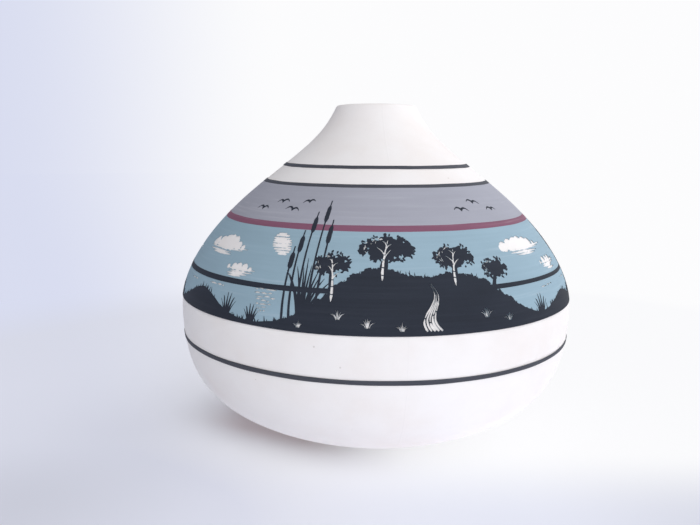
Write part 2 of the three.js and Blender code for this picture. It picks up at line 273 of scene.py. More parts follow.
def bisqueMaterial(look):
    # Sponged clay: warm patches, fine grain, dust, a few iron specks and the mould's seam
    material, tree, shader, place = startMaterial("bisque clay")
    patch = between(tree, noise(tree, place, look["warmCells"], 3), look["warmFrom"], look["warmTo"])
    grain = noise(tree, place, look["grainCells"], 3)
    dust = noise(tree, place, look["dustCells"], 4)
    cells = cellular(tree, place, look["speckCells"])
    size = times(tree, addNode(tree, "SeparateXYZ", None, {0: cells["Color"]})[0], look["speckSize"])
    speck = opposite(tree, between(tree, minus(tree, cells["Distance"], size), 0, look["speckEdge"]))
    aside = fromPlane(tree, place, look["seamTurn"])
    seam = opposite(tree, between(tree, aside, 0, look["seamWidth"] * mm))
    shade = plus(tree, about(tree, grain, look["grain"]), about(tree, dust, look["dust"]))
    shade = minus(tree, plus(tree, 1.0, shade), times(tree, seam, look["seamDark"]))
    colour = scaled(tree, mixed(tree, patch, look["colour"], look["warm"]), shade)
    colour = mixed(tree, times(tree, speck, look["speckDark"]), colour, look["speck"])
    rough = plus(tree, look["roughness"], about(tree, dust, look["dustRough"]))
    height = plus(tree, times(tree, grain, 0.5), times(tree, dust, 0.8))
    height = plus(tree, height, minus(tree, times(tree, seam, 0.5), speck))
    finishShader(tree, shader, colour, rough, height, look["bump"], look["gloss"])
    return material


brushed = {
    "streakCells": 1.1, "streakLong": (34, 34, 1), "washCells": 5, "washLong": (9, 9, 1),
    "cloudCells": 17, "grainCells": 0.4, "thinFrom": 0.56, "thinTo": 0.85,
    "washRough": 0.12, "grainRough": 0.1, "bump": 0.045,
}


def slipMaterial(name, look):
    # Brushed on a turning pot: streaks run round it, and thin streaks let the clay through
    material, tree, shader, place = startMaterial(name)
    streak = noise(tree, place, brushed["streakCells"], 3, brushed["streakLong"])
    wash = noise(tree, place, brushed["washCells"], 2, brushed["washLong"])
    cloud = noise(tree, place, brushed["cloudCells"], 3)
    grain = noise(tree, place, brushed["grainCells"], 2)
    broad = plus(tree, about(tree, streak, look["streaks"]), about(tree, cloud, look["clouds"]))
    fine = plus(tree, about(tree, wash, look["streaks"]), about(tree, grain, look["grain"]))
    colour = scaled(tree, look["colour"], plus(tree, 1.0, plus(tree, broad, fine)))
    thin = between(tree, streak, brushed["thinFrom"], brushed["thinTo"])
    colour = mixed(tree, times(tree, thin, look["thin"]), colour, bisque["colour"])
    uneven = plus(tree, about(tree, wash, brushed["washRough"]), about(tree, grain, brushed["grainRough"]))
    rough = plus(tree, look["roughness"], uneven)
    height = plus(tree, times(tree, streak, 0.8), times(tree, grain, 0.5))
    finishShader(tree, shader, colour, rough, height, brushed["bump"], look["gloss"])
    return material


glazeLook = {
    "colour": (0.84, 0.83, 0.8), "crack": (0.42, 0.38, 0.32), "roughness": 0.12, "bump": 0.08,
    "runCells": 4, "runLong": (1, 1, 6), "runShade": 0.05,
    "poolCells": 22, "poolShade": 0.06, "poolRough": 0.08, "poolBump": 3.0,
    "crazeCells": 5, "crackWidth": 0.012, "crackDark": 0.12, "coat": 0.5, "coatRoughness": 0.05,
}


def glazeMaterial(look):
    # Poured in and swilled round: glossy, with faint runs down the wall and fine crazing
    material, tree, shader, place = startMaterial("clear glaze")
    run = noise(tree, place, look["runCells"], 2, look["runLong"])
    pool = noise(tree, place, look["poolCells"], 2)
    craze = cellular(tree, place, look["crazeCells"], "DISTANCE_TO_EDGE")[0]
    crack = opposite(tree, between(tree, craze, 0, look["crackWidth"]))
    shade = plus(tree, about(tree, run, look["runShade"]), about(tree, pool, look["poolShade"]))
    colour = scaled(tree, look["colour"], plus(tree, 1.0, shade))
    colour = mixed(tree, times(tree, crack, look["crackDark"]), colour, look["crack"])
    rough = plus(tree, look["roughness"], about(tree, pool, look["poolRough"]))
    height = plus(tree, run, times(tree, pool, look["poolBump"]))
    finishShader(tree, shader, colour, rough, height, look["bump"])
    shader.inputs["Coat Weight"].default_value = look["coat"]
    shader.inputs["Coat Roughness"].default_value = look["coatRoughness"]
    return material


slips = {
    "black": {"slot": "black_slip", "colour": (0.023, 0.028, 0.04), "streaks": 0.3, "clouds": 0.2,
              "grain": 0.35, "thin": 0.006, "roughness": 0.75, "gloss": 0.15},
    "line": {"slot": "black_slip", "colour": (0.066, 0.07, 0.085), "streaks": 0.3, "clouds": 0.2,
             "grain": 0.3, "thin": 0.02, "roughness": 0.75, "gloss": 0.15},
    "grey": {"slot": "grey_slip", "colour": (0.355, 0.362, 0.415), "streaks": 0.13, "clouds": 0.08,
             "grain": 0.07, "thin": 0.14, "roughness": 0.78, "gloss": 0.2},
    "maroon": {"slot": "maroon_slip", "colour": (0.215, 0.088, 0.138), "streaks": 0.22, "clouds": 0.12,
               "grain": 0.12, "thin": 0.12, "roughness": 0.75, "gloss": 0.2},
    "blue": {"slot": "blue_slip", "colour": (0.29, 0.41, 0.485), "streaks": 0.12, "clouds": 0.09,
             "grain": 0.07, "thin": 0.1, "roughness": 0.78, "gloss": 0.2},
}

bisqueClay = bisqueMaterial(bisque)
clearGlaze = glazeMaterial(glazeLook)
slip = {name: slipMaterial(name + " slip", look) for name, look in slips.items()}
print("materials made")

# The clay pot
clayPot = {
    "wall": 5, "lipRounding": 1.3, "footRing": 6, "footRecess": 1.8, "footRounding": 0.7,
    "floorBend": 6,  # where the inside wall bends into the floor
    "rowStep": 1.3, "insideStep": 2.6, "floorStep": 4, "underRow": 9, "turns": 250,
    "waver": 0.1,  # the sponged wall strays inwards by up to twice this
}


def evenly(start, end, step):
    return np.linspace(start, end, max(2, math.ceil(abs(end - start) / step) + 1))


def curved(a, tip, b, count=7):
    # (1 - t)^2 a + 2 (1 - t) t tip + t^2 b, a corner rounded off
    t = np.linspace(0, 1, count)[:, None]
    return (1 - t) ** 2 * np.array(a) + 2 * (1 - t) * t * np.array(tip) + t**2 * np.array(b)


def levelRun(start, end, height, step):
    radii = evenly(start, end, step)
    return np.stack([radii, np.full_like(radii, height)], -1)


def clayProfile(form):
    # Floor from the axis, up the inside, over the lip, down the outside, and under the foot
    wall, lip, soft, recess = [form[key] for key in ("wall", "lipRounding", "footRounding", "footRecess")]
    floor, foot = recess + wall, potForm["footRadius"]
    ringIn = foot - form["footRing"]
    floorEdge = ringIn - recess
    floorEnd = floorEdge - form["floorBend"] * 2 / 3
    inside = np.stack(wallPoint(evenly(2 * lip, wallLength, form["insideStep"]), -wall), -1)[::-1]
    outside = np.stack(wallPoint(evenly(lip, wallLength - soft, form["rowStep"])), -1)
    lipInside = wallPoint(0, -wall)
    lean = math.tan(math.radians(potForm["lipLean"]))
    tip = np.array([lipInside[0] - (potHeight - lipInside[1]) / lean, potHeight])
    return np.concatenate([
        levelRun(0, floorEnd, floor, form["floorStep"])[:-1],
        curved((floorEnd, floor), (floorEnd + form["floorBend"], floor), inside[0])[:-1],
        inside,
        curved(stepFrom(tip, -potForm["lipLean"], lip), tip, tip + [lip, 0]),
        curved((potForm["lipRadius"] - lip, potHeight), (potForm["lipRadius"], potHeight), outside[0])[:-1],
        outside,
        curved(outside[-1], (foot, 0), (foot - soft, 0))[1:],
        curved((ringIn + soft, 0), (ringIn, 0), (ringIn - soft, soft)),
        curved((floorEdge + soft, recess - soft), (floorEdge, recess), (floorEdge - soft, recess)),
        [(form["underRow"], recess), (0, recess)],
    ])


def makeClay(form):
    # Each row is drawn in a little by slow waves, which fade out at the foot and the floor
    profile = clayProfile(form)
    angle = np.linspace(0, 2 * math.pi, form["turns"], endpoint=False)[:, None]
    strays = waver(angle, form["waver"], (1, 2, 3, 5), np.random.default_rng(3)) + 2 * form["waver"]
    fade = np.clip(profile[:, 1] / 25, 0, 1) * (profile[:, 0] > 1)
    radius = profile[:, 0] - strays * fade
    height = np.broadcast_to(profile[:, 1], radius.shape)
    points, faces = turnedSkin(radius, height)
    return addPiece("bisque_pot", points, faces, bisqueClay, "clay_body")


makeClay(clayPot)

# The glaze inside is a thin cup that ends in a thin, slightly wavy edge under the lip.
glazeCup = {
    "proud": 0.5, "sunk": 0.2, "drop": 4, "edgeRun": 0.8, "waver": 0.35,
    "rowStep": 2.6, "floorRows": (0.0, 8, 16, 22), "turns": 200,
}


def makeGlaze(form):
    # Its thickness down the wall from the edge is proud * (1 - exp(-away / edgeRun))
    angle = np.linspace(0, 2 * math.pi, form["turns"], endpoint=False)[:, None]
    edge = form["drop"] + waver(angle, form["waver"], (2, 3, 5, 8, 13), np.random.default_rng(5))
    share = np.linspace(0, 1, math.ceil(wallLength / form["rowStep"]))
    along = edge + share * (wallLength - edge)
    thick = form["proud"] * (1 - np.exp(-(along - edge) / form["edgeRun"]))
    upR, upZ = wallPoint(along, -clayPot["wall"] - thick)
    downR, downZ = wallPoint(along, -clayPot["wall"] + form["sunk"])
    floor = clayPot["footRecess"] + clayPot["wall"]
    floorR = np.array(form["floorRows"]) * np.ones_like(angle)
    cupR = np.hstack([floorR, upR[:, ::-1], downR, floorR[:, ::-1]])
    cupZ = np.hstack([
        floorR * 0 + floor + form["proud"], upZ[:, ::-1], downZ, floorR * 0 + floor - form["sunk"],
    ])
    points, faces = turnedSkin(cupR, cupZ)
    return addPiece("glaze_lining", points, faces, clearGlaze, "inside_glaze")


makeGlaze(glazeCup)

# Bands of slip, laid on a turning wheel. Each is a thin ring whose edges run out into the
# clay, so one band can lie over the edge of the next.
slipCoat = {"sunk": 0.04, "edgeRun": 0.22, "turns": 360, "rowStep": 1.6, "waver": 0.07}
handDip = {"down": 0.1, "swing": 0.5, "lowest": 17}  # of the lower lines, lowest in degrees


def dip(angle):
    # The lower lines aren't quite level: down + swing cos 2(angle - lowest)
    return handDip["down"] + handDip["swing"] * np.cos(2 * (angle - math.radians(handDip["lowest"])))


sideRise = {"high": 0.8, "leftMore": 0.4}  # of the upper lines


def rise(angle):
    # The upper lines turn up at the sides: high * sin^4 angle * (1 - leftMore sin angle)
    side = np.sin(angle)
    return sideRise["high"] * side**4 * (1 - sideRise["leftMore"] * side)


bandLooks = {  # edges: how far down the two edges lie from the band's place in bandWidths
    "grey_sky_band": {"node": "grey_band", "band": "grey", "slip": "grey", "proud": 0.1,
                      "edges": (-0.4, 0.4), "rise": 1},
    "maroon_stripe": {"node": "maroon_line", "band": "maroon", "slip": "maroon", "proud": 0.13,
                      "edges": (-0.2, 0.5), "rise": 1},
    "neck_stripe": {"node": "neck_line", "band": "neckLine", "slip": "line", "proud": 0.12,
                    "edges": (0, 0.2), "rise": 1},
    "shoulder_stripe": {"node": "shoulder_line", "band": "shoulderLine", "slip": "line",
                        "proud": 0.14, "edges": (-0.35, -0.15), "rise": 1},
    "belly_stripe": {"node": "belly_line", "band": "bellyLine", "slip": "line", "proud": 0.12,
                     "edges": (-0.23, 0.23), "dip": 1, "leftWider": 0.13},
}


def makeBand(name, look, seed):
    # Rows go down the band at its thickness t(v) = proud * (1 - (1 - v / edgeRun)^2) near
    # an edge v away, and back under it; both edges waver as the brush did, and a line may
    # be wider on the left.
    rng = np.random.default_rng(seed)
    turn = np.linspace(0, 2 * math.pi, slipCoat["turns"], endpoint=False)[:, None]
    down = look.get("dip", 0) * dip(turn) - look.get("rise", 0) * rise(turn)
    wider = -look.get("leftWider", 0) * np.sin(turn)
    top = bandStarts[look["band"]] + look["edges"][0]
    bottom = bandEnds[look["band"]] + look["edges"][1]
    start = top + down - wider + waver(turn, slipCoat["waver"], (1, 2, 4, 7, 11, 19), rng)
    end = bottom + down + wider + waver(turn, slipCoat["waver"], (1, 3, 5, 9, 14, 23), rng)
    width, run = bottom - top, slipCoat["edgeRun"]
    edge = run * np.array([0, 0.15, 0.4, 1])
    middle = evenly(run, width - run, slipCoat["rowStep"])[1:-1]
    away = np.concatenate([edge, middle, width - edge[::-1]])
    thick = look["proud"] * (1 - (1 - np.clip(np.minimum(away, width - away) / run, 0, 1)) ** 2)
    along = start + (end - start) * away / width
    topR, topZ = wallPoint(along, np.where(thick > 0, thick, -slipCoat["sunk"] / 2))
    lowR, lowZ = wallPoint(along[:, ::-1], -slipCoat["sunk"])
    points, faces = turnedSkin(np.hstack([topR, lowR]), np.hstack([topZ, lowZ]), loop=True)
    return addPiece(name, points, faces, slip[look["slip"]], look["node"])


for seed, (name, look) in enumerate(bandLooks.items()):
    makeBand(name, look, seed + 20)
print("bands made")

# The picture is drawn flat and laid on the wall. Across is measured round the belly from
# the front, to the right, and up is measured along the wall from the horizon line's lower
# edge. A place round the pot is in degrees, and a height in a sky band is a share of it.
roundLength = math.pi * potRadius  # from the front to the seam at the back
horizonFoot = bandEnds["horizonLine"]
tapers = {  # the share of a stroke's width at t, from nought at its start to one at its end
    "lens": lambda t: 0.2 + 0.8 * np.sin(math.pi * t),
    "blade": lambda t: 1.1 - t,
    "leaf": lambda t: np.sin(math.pi * t) ** 0.8,
    "trunk": lambda t: 1.3 - 0.6 * t,
    "twig": lambda t: 1.1 - 0.8 * t,
    "reed": lambda t: 1.15 - 0.45 * t,
    "reedHead": lambda t: 0.25 + 0.75 * (1 - np.abs(2 * t - 1) ** 5),
    "reedLeaf": lambda t: (1 - 0.97 * t) ** 0.7,
    "wing": lambda t: (1.02 - t) ** 0.6,
    "moon": lambda t: 0.5 + 0.5 * np.sin(math.pi * t) ** 0.3,
    "sprout": lambda t: 0.5 + 0.5 * np.sin(math.pi * t) - 0.35 * t,
    "thread": lambda t: 0.35 + 0.65 * np.sin(math.pi * t) ** 0.5,
}


def placeRound(degrees):
    return math.radians(1) * potRadius * np.asarray(degrees, float)


def inUpperSky(share):
    return bandWidths["horizonLine"] + share * bandWidths["upperSky"]


def inLowerSky(share):
    return (share - 1) * bandWidths["lowerSky"]


def ribbon(middle, width, ragged=0.0, rng=None):
    # An outline at half the width to both sides of a line of points: p -+ w/2 * normal
    tangent = np.gradient(middle, axis=0)
    tangent /= np.maximum(np.linalg.norm(tangent, axis=1, keepdims=True), 1e-9)
    normal = np.stack([-tangent[:, 1], tangent[:, 0]], -1)
    rough = rng.normal(0, ragged, (2, len(middle), 1)) if ragged else np.zeros((2, 1, 1))
    half = np.asarray(width, float).reshape(-1, 1) / 2
    right = middle - normal * np.maximum(half + rough[0], 0.03)
    left = middle + normal * np.maximum(half + rough[1], 0.03)
    return np.concatenate([right, left[::-1]])


def heading(angle):
    return np.stack([np.cos(angle), np.sin(angle)], -1)


def fanned(count):
    # Evenly spread shares between -1 on the left and 1 on the right
    return (2 * np.arange(count) + 1) / count - 1


def stroke(start, end, width, bow=0.0, taper="lens", count=6, ragged=0.0, rng=None):
    # start + (end - start) t, bowed to the left by 4 bow t (1 - t), tapered along t
    t = np.linspace(0, 1, count + 1)
    start, end = np.asarray(start, float), np.asarray(end, float)
    way = end - start
    left = np.array([-way[1], way[0]]) / max(np.hypot(*way), 1e-9)
    middle = start + way * t[:, None] + left * (4 * bow * t * (1 - t))[:, None]
    return ribbon(middle, width * tapers[taper](t), ragged, rng)


def roundForm(middle, radii, count, lobes=0, depth=0.0, rng=None, rough=0.0):
    # middle + radii * (1 + depth cos(lobes a) + rough) * (cos a, sin a)
    angle = np.linspace(0, 2 * math.pi, count, endpoint=False)
    swell = 1 + depth * np.cos(lobes * angle)
    if rough:
        swell = swell + waver(angle, rough, (9, 13, 17, 22, 29), rng)
    return np.asarray(middle) + np.asarray(radii) * (swell[:, None] * heading(angle))


shore = {
    "knolls": [(-1, 21, 0.26), (24, 21, 0.14)],  # at, wide, top in the upper sky
    "lowHills": [(-53, 16, 0.66), (63, 14.5, 0.52), (104, 18, 0.73), (-97, 20.5, 0.45)],
    "step": 0.7, "uneven": 0.09, "footWaver": 0.05, "rooted": 0.5,
    "grassEvery": 1.5, "grassTall": (0.6, 2.6), "grassWide": 0.7, "grassBow": 0.3,
    "grassLean": 0.4, "grassPatches": 9, "grassThin": 0.3, "grassEnd": 176,
}
groundFoot = -bandWidths["lowerSky"] - bandWidths["groundLine"]
rises = [(at, wide, inUpperSky(top) + bandWidths["lowerSky"]) for at, wide, top in shore["knolls"]]
rises += [(at, wide, top * bandWidths["lowerSky"]) for at, wide, top in shore["lowHills"]]


def shoreline(degrees):
    # A sum of bell curves, high * exp(-2 (away / wide)^2), over the ground line
    degrees = np.asarray(degrees, float)
    total = np.full(degrees.shape, -float(bandWidths["lowerSky"]))
    for at, wide, high in rises:
        away = (degrees - at + 180) % 360 - 180
        total = total + high * np.exp(-2 * (away / wide) ** 2)
    return total


def rootUp(degrees, depth):
    # A height below the shoreline, but never down to the ground line's lower edge
    return np.maximum(shoreline(degrees) - depth, groundFoot + shore["rooted"])


edgeStep = 1.5  # between points along a band's edges


def closedBand(across, lower, upper):
    # The outline between two edges, with points down both ends too, so that the seam at the
    # back bends with the wall
    seam = evenly(lower[0], upper[0], edgeStep)[1:-1]
    column = np.ones_like(seam)
    return np.concatenate([
        np.stack([across, lower], -1),
        np.stack([across[-1] * column, seam], -1),
        np.stack([across, upper], -1)[::-1],
        np.stack([across[0] * column, seam[::-1]], -1),
    ])


def levelBand(low, high, seed, size, leftLower=0.0):
    # A strip all the way round, with edges that waver like a wheel-drawn line
    rng = np.random.default_rng(seed)
    angle = np.linspace(-math.pi, math.pi, math.ceil(2 * roundLength / edgeStep) + 1)
    across = angle * potRadius
    lower = low + leftLower * np.sin(angle) + waver(angle, size, (1, 2, 5, 8, 13), rng)
    upper = high + waver(angle, size, (1, 3, 4, 9, 15), rng)
    lower[-1], upper[-1] = lower[0], upper[0]
    return closedBand(across, lower, upper)


def ground(look):
    # From the ground line's lower edge up to the shoreline
    degrees = np.linspace(-180, 180, math.ceil(2 * roundLength / look["step"]) + 1)
    angle, rng = np.radians(degrees), np.random.default_rng(31)
    top = shoreline(degrees) + waver(angle, look["uneven"], (37, 53, 71, 97, 131), rng)
    low = groundFoot - dip(angle) + waver(angle, look["footWaver"], (1, 2, 5, 8, 13), rng)
    top[-1], low[-1] = top[0], low[0]
    return closedBand(placeRound(degrees), low, top)


def shoreGrass(look):
    # Short blades stand on the shoreline, thicker in some places than in others
    rng = np.random.default_rng(33)
    count = int(2 * roundLength / look["grassEvery"])
    at = rng.uniform(-look["grassEnd"], look["grassEnd"], count)
    thin, patches = look["grassThin"], np.sin(np.radians(at * look["grassPatches"])) ** 2
    tall = rng.uniform(*look["grassTall"], count) * (thin + (1 - thin) * patches)
    lean = rng.normal(0, look["grassLean"], count)
    root = np.stack([placeRound(at), rootUp(at, look["rooted"])], -1)
    tips = root + np.stack([lean * tall, tall + look["rooted"]], -1)
    return [stroke(a, b, look["grassWide"], tilt * look["grassBow"], "blade", 4)
            for a, b, tilt in zip(root, tips, lean)]


# Bushes crowd together along the knolls.
thicket = {
    "from": -27, "to": 43, "every": 1.35, "stray": 0.25, "size": (0.9, 2.6), "sunk": (0.1, 0.55),
    "fullOver": 16, "smallest": 0.25, "clear": 1.2, "rough": 0.05, "lobeDepth": 0.09,
}
leafage = {"lobes": (4, 8), "flat": (0.7, 0.95), "points": 14, "morePoints": 9}


def clump(middle, size, look, rng):
    lobes = int(rng.integers(*leafage["lobes"]))
    radii = (size, size * rng.uniform(*leafage["flat"]))
    count = int(leafage["points"] + leafage["morePoints"] * size)
    return roundForm(middle, radii, count, lobes, look["lobeDepth"], rng, look["rough"])


def thicketShapes(look, rng):
    # Each clump sits a little below the shoreline, smaller where the shore is low
    shapes = []
    places = np.arange(look["from"], look["to"], look["every"])
    lowest = groundFoot + shore["rooted"]
    for at in places + rng.normal(0, look["stray"], len(places)):
        up = float(shoreline(at))
        high = np.clip((up + bandWidths["lowerSky"]) / look["fullOver"], look["smallest"], 1)
        size = rng.uniform(*look["size"]) * high
        middle = max(up - size * rng.uniform(*look["sunk"]), lowest + look["clear"] * size)
        shapes.append(clump((placeRound(at), middle), size, look, rng))
    return shapes


print("drawing the picture")

trees = {
    "list": [
        {"at": 2, "lean": 1.5, "middle": 0.68, "wide": 16, "high": 0.48, "clumps": 13, "stem": 1},
        {"at": 21, "lean": 1.5, "middle": 0.52, "wide": 12, "high": 0.42, "clumps": 10, "stem": 1},
        {"at": -10.5, "lean": -1, "middle": 0.4, "wide": 10, "high": 0.38, "clumps": 9, "stem": 1},
        {"at": 31.5, "lean": 3, "middle": 0.28, "wide": 8.5, "high": 0.34, "clumps": 8, "stem": 0},
    ],
    "core": 0.72, "corePoints": 60, "coreLobes": 5, "coreDepth": 0.06, "coreRough": 0.03,
    "clumpSize": (0.34, 0.5), "clumpAway": (0.92, 1.1), "ringStray": 0.14,
    "rough": 0.055, "lobeDepth": 0.1, "rootDepth": 2, "trunkShare": 0.12,
    "leafLong": (0.9, 1.9), "leafWide": 0.85, "leavesPer": 2.4, "leafAway": (0.86, 0.98),
    "leafStray": 0.8, "leafBow": 0.1,
    "skyGaps": 7, "gapSize": (0.3, 0.75), "gapAway": (0.66, 0.88), "gapFlat": 0.8, "gapDepth": 0.3,
    "stemWide": 1.3, "stemFoot": 4.2, "stemTop": 0.62, "stemShift": 0.25, "stemBow": (0.5, 0.9),
    "stemThins": 0.72, "nickEvery": (1.6, 3.4), "nick": 0.28, "shortest": 0.8,
    "twigs": [(0.5, 1, 5.5), (0.62, -1, 5), (0.76, 1, 3.8), (0.86, -1, 3)],  # up the stem, side, long
    "twigCrown": 6.2,  # half the height of the crown that has twigs as long as that
    "twigWide": 0.6, "twigTurn": (38, 52), "twigBow": 0.35,
    "ticksPer": 0.8, "tickWide": 0.4, "tickLong": (0.9, 1.9), "tickTurn": (95, 200),
    "tickAway": (0.62, 0.86), "tickStray": 0.35, "tickBow": -0.15,
}


def crownOf(tree):
    middle = np.array([placeRound(tree["at"] + tree["lean"]), inUpperSky(tree["middle"])])
    radii = np.array([placeRound(tree["wide"]) / 2, tree["high"] * bandWidths["upperSky"] / 2])
    return middle, radii


def treeShapes(tree, look, rng):
    # Clumps of leaves in a ring round the crown's core, with loose leaves at their edge
    middle, radii = crownOf(tree)
    shapes = [roundForm(middle, radii * look["core"], look["corePoints"], look["coreLobes"],
                        look["coreDepth"], rng, look["coreRough"])]
    ring = np.linspace(0, 2 * math.pi, tree["clumps"], endpoint=False)
    for angle in ring + rng.normal(0, look["ringStray"], tree["clumps"]):
        size = rng.uniform(*look["clumpSize"]) * radii.min()
        away = (radii - size) / radii * rng.uniform(*look["clumpAway"])
        place = middle + radii * away * heading(angle)
        shapes.append(clump(place, size, look, rng))
    count = int(look["leavesPer"] * radii.sum())
    angle = rng.uniform(0, 2 * math.pi, count)
    stem = middle + radii * rng.uniform(*look["leafAway"], (count, 1)) * heading(angle)
    turn = angle + rng.normal(0, look["leafStray"], count)
    long = rng.uniform(*look["leafLong"], count)
    tips = stem + long[:, None] * heading(turn)
    shapes += [stroke(a, b, look["leafWide"], look["leafBow"], "leaf", 5)
               for a, b in zip(stem, tips)]
    root = np.array([placeRound(tree["at"]), rootUp(tree["at"], look["rootDepth"])])
    wide = look["trunkShare"] * placeRound(tree["wide"])
    shapes.append(stroke(root, middle, wide, 0, "trunk", 6, 0.05, rng))
    return shapes


def skyGaps(tree, look, rng):
    # Gaps between the leaves, where the sky shows through the outer part of the crown
    middle, radii = crownOf(tree)
    angle = rng.uniform(0, 2 * math.pi, look["skyGaps"])
    away = rng.uniform(*look["gapAway"], look["skyGaps"])
    size = rng.uniform(*look["gapSize"], look["skyGaps"])
    places = middle + radii * away[:, None] * heading(angle)
    return [roundForm(place, (wide, wide * look["gapFlat"]), 12, 3, look["gapDepth"])
            for place, wide in zip(places, size)]


def stemScratches(tree, look, rng):
    # A pale stem is scratched up through the crown in lengths, with dark nicks left between
    # them, and twigs branch off it to both sides
    middle, radii = crownOf(tree)
    foot = np.array([placeRound(tree["at"]), shoreline(tree["at"]) - look["stemFoot"]])
    top = middle + [placeRound(tree["lean"]) * look["stemShift"], radii[1] * look["stemTop"]]
    way, reach = top - foot, np.hypot(*(top - foot))
    bow = rng.uniform(*look["stemBow"]) * np.sign(tree["lean"])
    left = np.array([-way[1], way[0]]) / reach
    onStem = lambda t: foot + way * t[:, None] + left * (4 * bow * t * (1 - t))[:, None]
    strokes, at = [], 0.0
    while at < reach - look["shortest"]:
        end = min(at + rng.uniform(*look["nickEvery"]), reach)
        t = np.linspace(at, end, 5) / reach
        wide = look["stemWide"] * (1 - look["stemThins"] * t) * np.clip(0.25 + 6 * t, 0, 1)
        strokes.append(ribbon(onStem(t), wide, 0.03, rng))
        at = end + look["nick"]
    for share, side, long in look["twigs"]:
        start = onStem(np.array([share]))[0]
        turn = math.radians(rng.uniform(*look["twigTurn"]))
        twigWay, twigBow = np.array([side * math.cos(turn), math.sin(turn)]), side * look["twigBow"]
        tip = start + long * radii[1] / look["twigCrown"] * twigWay
        strokes.append(stroke(start, tip, look["twigWide"], twigBow, "twig", 7, 0.03, rng))
    return strokes


def leafTicks(tree, look, rng):
    # Short scratches pick out the leaves on the side of the crown that faces the moon
    middle, radii = crownOf(tree)
    count = int(radii.sum() * look["ticksPer"])
    angle = np.radians(rng.uniform(*look["tickTurn"], count))
    away = rng.uniform(*look["tickAway"], count)
    start = middle + radii * away[:, None] * heading(angle)
    turn = angle + math.pi / 2 + rng.normal(0, look["tickStray"], count)
    tips = start + rng.uniform(*look["tickLong"], count)[:, None] * heading(turn)
    return [stroke(a, b, look["tickWide"], look["tickBow"], "lens", 4, 0.03, rng)
            for a, b in zip(start, tips)]


tufts = {
    "list": [(-40, 0.58, 2.8), (-31.5, 0.45, 2.3), (48, 0.55, 2.7), (73, 0.4, 2.4),
             (-74, 0.5, 2.6), (132, 0.5, 2.6), (-140, 0.42, 2.2)],  # at, tall, spread
    "blades": 4, "outer": 0.6, "wide": 1.5, "bow": 0.6, "rootDepth": 2,
    "fine": 6, "fineWide": 0.6, "fineShare": 0.8,
}


def tuftShapes(look, rng):
    shapes = []
    for at, tall, spread in look["list"]:
        foot = rootUp(at, look["rootDepth"])
        kinds = ((look["blades"], look["wide"], 1), (look["fine"], look["fineWide"], look["fineShare"]))
        for count, wide, share in kinds:
            for fan in fanned(count):
                height = share * tall * bandWidths["lowerSky"] * (1 - (1 - look["outer"]) * abs(fan))
                start = [placeRound(at) + fan * look["wide"], foot]
                tip = [placeRound(at + fan * spread / share), foot + look["rootDepth"] + height]
                shapes.append(stroke(start, tip, wide, fan * look["bow"], "blade", 6, 0.03, rng))
    return shapes


# Reeds with round heads stand at the water's edge and cross the bands above it.
reeds = {
    "stems": [(-18.6, -2.4, 37), (-16.2, -0.6, 43.5), (-14.3, 0.9, 33), (-20.6, -2.8, 27), (-22.4, -2, 19),
              (79, 1.6, 30), (81.2, 3.4, 25), (77.6, -0.4, 21),
              (-118, -1.5, 22), (-115.5, 1, 27), (150, 1.4, 25), (147.4, -1.2, 20)],  # at, lean, top
    "stemWide": 0.95, "stemBow": 0.12, "rootDepth": 1.5,
    "headLong": 8.5, "headVaries": (0.85, 1.1), "headWide": 2.5, "spike": 2.8,
    "leaves": [(-17.4, 10, 25, 2.6), (79.2, 6, 19, 1.8),
               (-116.5, 5, 18, 1.8), (149, 5, 18, 1.8)],  # at, count, tall, half spread
    "leafWide": 1.5, "leafBow": 0.1, "leafVaries": (0.8, 1.1), "outer": 0.42,
    "footSpread": 2.2, "tipSpread": 2.3, "stray": 0.06,
}


def reedShapes(look, rng):
    shapes = []
    for at, lean, top in look["stems"]:
        start = np.array([placeRound(at), rootUp(at, look["rootDepth"])])
        tip = np.array([placeRound(at) + lean, top])
        bow = -lean * look["stemBow"]
        shapes.append(stroke(start, tip, look["stemWide"], bow, "reed", 18, 0.02, rng))
        way = (tip - start) / np.hypot(*(tip - start))
        headTop = tip - way * look["spike"]
        headFoot = headTop - way * look["headLong"] * rng.uniform(*look["headVaries"])
        shapes.append(stroke(headFoot, headTop, look["headWide"], 0, "reedHead", 12, 0.05, rng))
    for at, count, tall, spread in look["leaves"]:
        for fan in fanned(count):
            fan += rng.normal(0, look["stray"])
            start = np.array([placeRound(at) + fan * look["footSpread"], rootUp(at, look["rootDepth"])])
            height = tall * (1 - look["outer"] * abs(fan)) * rng.uniform(*look["leafVaries"])
            tip = start + [placeRound(fan * spread * look["tipSpread"]), height]
            bow = fan * height * look["leafBow"]
            shapes.append(stroke(start, tip, look["leafWide"], bow, "reedLeaf", 14, 0.02, rng))
    return shapes


birds = {
    "list": [(-47, 36.8, 11), (-38.5, 41.4, 10), (-31.5, 37.2, 10.5), (-25.8, 42.2, 8.5),
             (33, 37.6, 10.5), (41, 41.6, 10), (49, 37, 9),
             (120, 38, 10), (130, 41.5, 9), (-160, 39, 10)],  # at, up, span
    "wide": 1.25, "lift": 0.3, "tilt": 0.1, "spanVaries": (0.92, 1.08), "halfBody": 0.5,
}


def birdShapes(look, rng):
    # Each wing rises from the body in a bow and comes down to a point
    shapes = []
    for at, up, span in look["list"]:
        body = np.array([placeRound(at), up])
        tilt = rng.normal(0, look["tilt"])
        for side in (-1, 1):
            long = span / 2 * rng.uniform(*look["spanVaries"])
            tip = body + [side * long, long * side * tilt]
            bow = side * long * look["lift"]
            start = body - [side * look["halfBody"], 0]
            shapes.append(stroke(start, tip, look["wide"], bow, "wing", 12))
    return shapes


